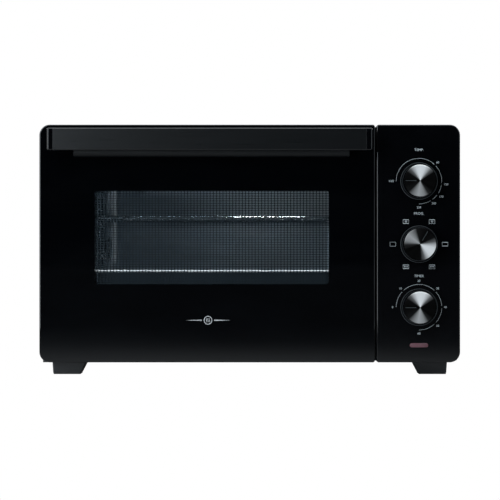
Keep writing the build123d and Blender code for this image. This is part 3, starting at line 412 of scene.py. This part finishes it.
FINISHES = {
    # the last colour of each coated finish is lighter paint along the edges: rubbed wear and a painted
    # highlight
    "coated_steel": coated(
        "coated_steel_finish", dark=(0.006, 0.0065, 0.0075), light=(0.012, 0.0125, 0.014),
        rough=(0.42, 0.45), grain=900, relief=0.02 * MM, edge_highlight_and_wear=(0.05, 0.05, 0.052),
    ),
    "black_plastic": coated(
        "black_plastic_finish", dark=(0.008, 0.0085, 0.0095), light=(0.014, 0.015, 0.0165),
        rough=(0.3, 0.46), grain=1500, relief=0.03 * MM, edge_highlight_and_wear=(0.04, 0.041, 0.043),
    ),
    "bare_steel": sheet_metal(
        "bare_steel_finish", (0.5, 0.51, 0.52), (0.62, 0.63, 0.64), (0.28, 0.48),
        along=(0.05, 1, 1), spangle=0.35,
    ),
    "aluminised_steel": sheet_metal(
        "aluminised_steel_finish", (0.42, 0.45, 0.48), (0.5, 0.53, 0.56), (0.32, 0.45),
        along=(1, 0.04, 1), spangle=0.04, stain=(0.36, 0.34, 0.31),
    ),
    "fan_aluminium": sheet_metal(
        "fan_aluminium_finish", (0.6, 0.61, 0.62), (0.7, 0.71, 0.72), (0.25, 0.4), along=(1, 0.1, 1),
    ),
    "motor_steel": sheet_metal(
        "motor_steel_finish", (0.38, 0.39, 0.4), (0.5, 0.5, 0.5), (0.3, 0.5), along=(8, 1, 1), spangle=0.1,
    ),
    "chrome_wire": bright_metal("chrome_finish", (0.8, 0.81, 0.83), (0.14, 0.28)),
    "steel_shaft": bright_metal("steel_shaft_finish", (0.55, 0.55, 0.56), (0.18, 0.35), 900, 0.01 * MM),
    "zinc_screws": bright_metal("zinc_finish", (0.55, 0.55, 0.52), (0.2, 0.4), 900, 0.01 * MM),
    "bell_steel": bright_metal("bell_finish", (0.7, 0.7, 0.68), (0.1, 0.2)),
    "ceramic": cast_or_fired("ceramic_finish", (0.72, 0.69, 0.62), (0.5, 0.46, 0.4), (0.5, 0.7)),
    "control_body": cast_or_fired("phenolic_finish", (0.5, 0.42, 0.3), (0.3, 0.24, 0.16), (0.4, 0.6)),
    "pale_nylon": cast_or_fired("nylon_finish", (0.75, 0.73, 0.66), (0.66, 0.63, 0.55), (0.35, 0.55)),
    "tinned_steel": tray_material(),
    "heater_sheath": heater_material(),
    "black_glass": door_glass_material(),
    "gloss_black_plastic": gloss_black("gloss_black_finish"),
    "handle_metal": handle_metal(),
    "red_lens": lens_material(),
    "rubber": rubber_material(),
}


def dress(node, material):
    mesh = nodes[node].data
    mesh.materials.clear()
    mesh.materials.append(material)


POINTER_DEG = {"temperature": 180, "function": 60, "timer": 180}
KNOB_CENTRE = {}
for knob in POINTER_DEG:
    low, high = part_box(f"{knob}_knob")
    KNOB_CENTRE[knob] = ((low.x + high.x) / 2, (low.z + high.z) / 2)

for part in frame["record"]["subparts"]:
    if part["material_slot"] != "spun_aluminium":
        dress(part["node"], FINISHES[part["material_slot"]])
dress("handle_grip", grip_material())
for knob, pointer in POINTER_DEG.items():
    dress(f"{knob}_knob_trim", spun_face_with_painted_fans(f"{knob}_spun_painted_fans_finish", KNOB_CENTRE[knob], pointer))


# ---------------------------------------------------------------- flat marks, screen and emblem
class Flat:
    """Flat shapes in (x, z) gathered into one mesh that faces the front."""

    def __init__(self):
        self.points = []
        self.faces = []

    def polygon(self, points):
        first = len(self.points)
        self.points += points
        self.faces.append(tuple(range(first, first + len(points))))

    def bar(self, x0, x1, z0, z1):
        self.polygon([(x0, z0), (x1, z0), (x1, z1), (x0, z1)])

    def arc(self, centre, radius, width, start_deg, end_deg):
        """A ring sector, counter-clockwise from start to end."""
        steps = max(2, round(abs(end_deg - start_deg) / 4))
        for i in range(steps):
            a = math.radians(start_deg + (end_deg - start_deg) * i / steps)
            b = math.radians(start_deg + (end_deg - start_deg) * (i + 1) / steps)
            inner, outer = radius - width / 2, radius + width / 2
            self.polygon([
                (centre[0] + r * math.cos(turn), centre[1] + r * math.sin(turn))
                for r, turn in ((inner, a), (outer, a), (outer, b), (inner, b))
            ])

    def text(self, words, x, z, height):
        """Words centred on (x, z), with capitals of about the given height."""
        curve = bpy.data.curves.new("words", "FONT")
        curve.body = words
        curve.size = height / 0.7
        curve.align_x = "CENTER"
        curve.align_y = "CENTER"
        curve.resolution_u = 3
        writer = bpy.data.objects.new("words", curve)
        bpy.context.scene.collection.objects.link(writer)
        bpy.context.view_layer.update()
        mesh = bpy.data.meshes.new_from_object(writer)
        first = len(self.points)
        self.points += [(x + v.co.x, z + v.co.y) for v in mesh.vertices]
        self.faces += [tuple(first + i for i in face.vertices) for face in mesh.polygons]
        bpy.data.objects.remove(writer)
        bpy.data.meshes.remove(mesh)

    def piece(self, name, y, body, material):
        mesh = bpy.data.meshes.new(name)
        mesh.from_pydata([(px, y, pz) for px, pz in self.points], [], self.faces)
        mesh.materials.append(material)
        made = bpy.data.objects.new(name, mesh)
        bpy.context.scene.collection.objects.link(made)
        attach(made, body)
        return made


INK = printed_ink("dial_ink_finish", (0.5, 0.54, 0.56))
LINE = 0.28 * MM
TEXT_H = 2.35 * MM
HEADING_H = 2.85 * MM
ARC_R = 26.2 * MM
LABEL_R = 30.3 * MM
ICON_R = 30 * MM
HEADING_UP = {"temperature": 35.8 * MM, "function": 35.2 * MM, "timer": 35.8 * MM}
ARC_START, ARC_END = 180, -90
ARC_HALF_GAP = 3  # degrees left open each side of a label
LONG_LABEL_SHIFT = 1.2 * MM


def dial_marks(knob, labels, heading, arc_gaps):
    """Heading above a knob, an arc from nine o'clock over the top to six o'clock, and the labels round it."""
    x, z = KNOB_CENTRE[knob]
    marks = Flat()
    marks.text(heading, x, z + HEADING_UP[knob], HEADING_H)
    for angle, words in labels:
        a = math.radians(angle)
        shift = LONG_LABEL_SHIFT * abs(math.cos(a)) if len(words) > 2 else 0
        reach = LABEL_R + shift
        marks.text(words, x + reach * math.cos(a), z + reach * math.sin(a), TEXT_H)
    stops = [ARC_START, *sorted(arc_gaps, reverse=True), ARC_END]
    for start, end in zip(stops, stops[1:]):
        first = start - (0 if start == ARC_START else ARC_HALF_GAP)
        last = end + (0 if end == ARC_END else ARC_HALF_GAP)
        marks.arc((x, z), ARC_R, LINE, last, first)
    return marks.piece(f"{knob}_dial_print", FACE - PRINT_GAP, "root", INK)


dial_marks("temperature", [(180, "OFF"), (45, "60"), (-7, "150"), (-35, "170"), (-56, "200"), (-90, "230")],
           "TEMP.", (45, -7, -35, -56))
dial_marks("timer", [(180, "0"), (135, "10"), (90, "20"), (45, "30"), (0, "40"), (-45, "50"), (-90, "60")],
           "TIMER", (135, 45, 0, -45))

ICON_HALF = (3.4 * MM, 2.45 * MM)
ICON_THIN, ICON_THICK = 0.28 * MM, 0.7 * MM
FAN_BLADE = ((0.1, 0.0), (0.9, -0.45), (1.5, 0.1), (0.8, 0.5))  # one of four, in mm from the middle
SPIT_FORKS = (-1.5 * MM, 1.5 * MM)
SPIT_INSET = 1.1 * MM           # from the outline to the spit's end
SPIT_HALF = 0.25 * MM
FORK_HALF = (0.2 * MM, 0.9 * MM)


def function_icon(marks, x, z, top, bottom, fan, spit):
    """An oven outline with thick lines for the heaters in use, and a fan or a spit inside."""
    w, h = ICON_HALF
    marks.bar(x - w, x + w, z + h - (ICON_THICK if top else ICON_THIN), z + h)
    marks.bar(x - w, x + w, z - h, z - h + (ICON_THICK if bottom else ICON_THIN))
    marks.bar(x - w, x - w + ICON_THIN, z - h, z + h)
    marks.bar(x + w - ICON_THIN, x + w, z - h, z + h)
    if fan:
        for i in range(4):
            a = math.tau * i / 4
            marks.polygon([
                (x + MM * (u * math.cos(a) - v * math.sin(a)), z + MM * (u * math.sin(a) + v * math.cos(a)))
                for u, v in FAN_BLADE
            ])
    if spit:
        marks.bar(x - w + SPIT_INSET, x + w - SPIT_INSET, z - SPIT_HALF, z + SPIT_HALF)
        for fork in SPIT_FORKS:
            marks.bar(x + fork - FORK_HALF[0], x + fork + FORK_HALF[0], z - FORK_HALF[1], z + FORK_HALF[1])


def function_marks():
    x, z = KNOB_CENTRE["function"]
    marks = Flat()
    marks.text("PROG.", x, z + HEADING_UP["function"], HEADING_H)
    icons = {  # angle: top heater, bottom heater, fan, spit
        120: (1, 1, 1, 0),
        60: (1, 0, 1, 0),
        0: (1, 1, 0, 0),
        -60: (1, 0, 0, 1),
        -120: (1, 1, 0, 1),
        180: (0, 0, 0, 0),
    }
    for angle, parts in icons.items():
        a = math.radians(angle)
        function_icon(marks, x + ICON_R * math.cos(a), z + ICON_R * math.sin(a), *parts)
    return marks.piece("function_dial_print", FACE - PRINT_GAP, "root", INK)


function_marks()


SCREEN_PITCH = (3.7 * MM, 2.8 * MM)
SCREEN_WEB = (0.85 * MM, 0.75 * MM)
SCREEN_MARGIN = 8 * MM  # past the window's edge on every side
SCREEN_GAP = 0.4 * MM   # behind the glass


def window_screen():
    """Perforated sheet close behind the window glass, a grid of holes with cut corners."""
    x0, x1, z0, z1 = WINDOW
    x0, x1 = x0 - SCREEN_MARGIN, x1 + SCREEN_MARGIN
    z0, z1 = z0 - SCREEN_MARGIN, z1 + SCREEN_MARGIN
    columns, rows = round((x1 - x0) / SCREEN_PITCH[0]), round((z1 - z0) / SCREEN_PITCH[1])
    step_x, step_z = (x1 - x0) / columns, (z1 - z0) / rows
    flat = Flat()
    flat.points = [(x0 + i * step_x, z0 + j * step_z) for j in range(rows + 1) for i in range(columns + 1)]
    a, b = (step_x - SCREEN_WEB[0]) / 2, (step_z - SCREEN_WEB[1]) / 2
    cut = 0.5 * min(a, b)
    ring = [
        (-a + cut, -b), (a - cut, -b), (a, -b + cut), (a, b - cut),
        (a - cut, b), (-a + cut, b), (-a, b - cut), (-a, -b + cut),
    ]
    for j in range(rows):
        for i in range(columns):
            cx, cz = x0 + (i + 0.5) * step_x, z0 + (j + 0.5) * step_z
            first = len(flat.points)
            flat.points += [(cx + u, cz + v) for u, v in ring]
            low = j * (columns + 1) + i
            corners = [low, low + 1, low + columns + 2, low + columns + 1]
            for side in range(4):
                here, there = corners[side], corners[(side + 1) % 4]
                p, q = first + 2 * side, first + 2 * side + 1
                flat.faces.append((here, there, q, p))
                flat.faces.append((there, first + (2 * side + 2) % 8, q))
    return flat.piece("window_screen", GLASS_BACK + SCREEN_GAP, "door", screen_material())


window_screen()


EMBLEM_AT = (-48 * MM, 63.5 * MM)
EMBLEM_R = 4.5 * MM
EMBLEM_LINE = 0.8 * MM
WAVES = (-1.7 * MM, 0.0, 1.7 * MM)
WAVE_UP, WAVE_SWAY, WAVE_HALF = 4.6 * MM, 0.45 * MM, 0.35 * MM
DASH_FROM, DASH_TO, DASH_HALF = 7 * MM, 26 * MM, 0.7 * MM


def emblem():
    """A plain ornament on the door: three rising waves in a ring, with a tapering line each side."""
    x, z = EMBLEM_AT
    flat = Flat()
    flat.arc((x, z), EMBLEM_R, EMBLEM_LINE, 0, 360)
    steps = 12
    for wave in WAVES:
        for i in range(steps):
            spots = []
            for step, side in ((i, -1), (i, 1), (i + 1, 1), (i + 1, -1)):
                up = (step / steps - 0.5) * WAVE_UP
                sway = WAVE_SWAY * math.sin(step / steps * math.tau)
                spots.append((x + wave + sway + side * WAVE_HALF, z + up))
            flat.polygon(spots)
    for side in (-1, 1):
        near, far = x + side * DASH_FROM, x + side * DASH_TO
        flat.polygon([(near, z - DASH_HALF), (near, z + DASH_HALF), (far, z)][::side])
    material = bright_metal("emblem_finish", (0.75, 0.76, 0.77), (0.35, 0.5))
    return flat.piece("door_emblem", GLASS_FRONT - 0.05 * MM, "door", material)


emblem()


# ---------------------------------------------------------------- floor, light and camera
def stage_floor():
    """Floor: white to the camera. In what the oven mirrors it has a painted pool of light, grey near the oven
    and black farther out.
    """
    s = Shader("floor_finish")
    at = s.axes()
    reach = s.length(at["X"], at["Y"])
    # painted pool of light: the floor's colour fades from grey near the oven to black farther out
    near = s.multiply(s.math("POWER", s.span(reach, 0.45, 1.4, 1.0, 0.0), 2.2), 0.34)
    grey = s.multiply(near, s.span(s.noise(3, 3), 0.3, 0.7, 0.97, 1.0))
    plain = s.principled(Base_Color=grey, Roughness=0.8)
    white = s.new("ShaderNodeEmission", Color=(1, 1, 1, 1), Strength=1.0)
    both = s.new("ShaderNodeMixShader")
    s.put(both.inputs[0], s.new("ShaderNodeLightPath").outputs["Is Camera Ray"])
    s.put(both.inputs[1], plain.outputs[0])
    s.put(both.inputs[2], white.outputs[0])
    half = 20
    corners = [(-half, -half, 0), (half, -half, 0), (half, half, 0), (-half, half, 0)]
    mesh = bpy.data.meshes.new("floor")
    mesh.from_pydata(corners, [], [(0, 1, 2, 3)])
    mesh.materials.append(s.finish(both))
    floor = bpy.data.objects.new("floor", mesh)
    bpy.context.scene.collection.objects.link(floor)


def room():
    """White room to the camera. What surfaces mirror is black in front, pale behind and bright above."""
    world = bpy.data.worlds.new("room")
    bpy.context.scene.world = world
    world.use_nodes = True
    tree = world.node_tree
    tree.nodes.clear()
    out = tree.nodes.new("ShaderNodeOutputWorld")
    place = tree.nodes.new("ShaderNodeTexCoord")
    split = tree.nodes.new("ShaderNodeSeparateXYZ")
    tree.links.new(place.outputs["Generated"], split.inputs[0])
    parts = []
    for axis, low, high, top in (("Y", -0.1, 0.9, 0.3), ("Z", 0.25, 1.0, 0.8)):
        span = tree.nodes.new("ShaderNodeMapRange")
        tree.links.new(split.outputs[axis], span.inputs["Value"])
        for key, value in (("From Min", low), ("From Max", high), ("To Min", 0.0), ("To Max", top)):
            span.inputs[key].default_value = value
        parts.append(span.outputs[0])
    total = tree.nodes.new("ShaderNodeMath")
    total.operation = "ADD"
    tree.links.new(parts[0], total.inputs[0])
    tree.links.new(parts[1], total.inputs[1])
    dim = tree.nodes.new("ShaderNodeBackground")
    dim.inputs["Color"].default_value = (0.87, 0.95, 1.0, 1)
    tree.links.new(total.outputs[0], dim.inputs["Strength"])
    white = tree.nodes.new("ShaderNodeBackground")
    white.inputs["Color"].default_value = (1, 1, 1, 1)
    seen = tree.nodes.new("ShaderNodeLightPath")
    mix = tree.nodes.new("ShaderNodeMixShader")
    tree.links.new(seen.outputs["Is Camera Ray"], mix.inputs[0])
    tree.links.new(dim.outputs[0], mix.inputs[1])
    tree.links.new(white.outputs[0], mix.inputs[2])
    tree.links.new(mix.outputs[0], out.inputs["Surface"])


def softbox(name, place, aim, size, power, colour=(1, 1, 1)):
    data = bpy.data.lights.new(name, "AREA")
    data.shape = "RECTANGLE"
    data.size, data.size_y = size
    data.energy = power
    data.color = colour
    lamp = bpy.data.objects.new(name, data)
    bpy.context.scene.collection.objects.link(lamp)
    lamp.location = place
    direction = Vector(aim) - Vector(place)
    lamp.rotation_euler = direction.to_track_quat("-Z", "Y").to_euler()
    return lamp


def studio_lights():
    """Large soft lights round the oven, aimed at its middle."""
    middle = (0, 0, 0.15)
    cool, pale_blue = (0.82, 0.92, 1.0), (0.92, 0.97, 1.0)
    softbox("top_light", (0, -0.3, 1.6), middle, (1.8, 1.2), 26, pale_blue)
    softbox("left_key", (-0.85, -1.6, 0.6), middle, (0.5, 1.4), 20, cool)
    softbox("left_side", (-1.6, -0.7, 0.6), middle, (0.7, 1.4), 12)
    softbox("right_fill", (1.35, -1.1, 0.5), middle, (1.1, 1.3), 7, cool)
    softbox("back_left", (-1.2, 1.5, 1.0), middle, (0.9, 0.9), 14)
    softbox("back_right", (1.3, 1.4, 0.9), middle, (0.9, 0.9), 12)


def cavity_lights():
    """Thin strips inside the oven, hidden from the camera: on the tray's rim, the rack and the back wall."""
    warm, blue = (1.0, 0.97, 0.93), (0.72, 0.85, 1.0)
    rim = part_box("baking_tray")[1].z - 1 * MM
    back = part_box("cavity_back_wall")[0].y
    band = (-0.175, back, 0.176)
    before_band = (-0.175, back - 12 * MM, 0.176)
    for name, place, aim, size, power, colour, spread_deg in (
        ("tray_light", (-0.043, -0.127, rim), (-0.043, -0.115, rim), (0.29, 0.002), 0.00098, warm, 40),
        ("rack_light", (0.02, -0.127, 0.224), (0.02, -0.118, 0.181), (0.09, 0.003), 0.06, warm, 180),
        ("oven_light", (-0.04, -0.1, 0.255), (-0.04, 0.1, 0.1), (0.2, 0.003), 0.055, blue, 180),
        ("band_light", before_band, band, (0.009, 0.095), 0.00009, warm, 20),
    ):
        strip = softbox(name, place, aim, size, power, colour)
        strip.visible_camera = False
        strip.data.spread = math.radians(spread_deg)


def camera():
    """Level camera, straight in front, far enough away that the sides don't show."""
    distance = 2.85
    view_width = 0.575  # across the picture, at the door's face
    data = bpy.data.cameras.new("camera")
    data.lens = data.sensor_width * distance / view_width
    data.clip_end = 100
    made = bpy.data.objects.new("camera", data)
    bpy.context.scene.collection.objects.link(made)
    aim_x, aim_z = 0.0003, 0.1443
    made.location = (aim_x, FACE - distance, aim_z)
    made.rotation_euler = (math.pi / 2, 0, 0)
    bpy.context.scene.camera = made


stage_floor()
room()
studio_lights()
cavity_lights()
camera()
bpy.context.scene.view_settings.view_transform = "Standard"
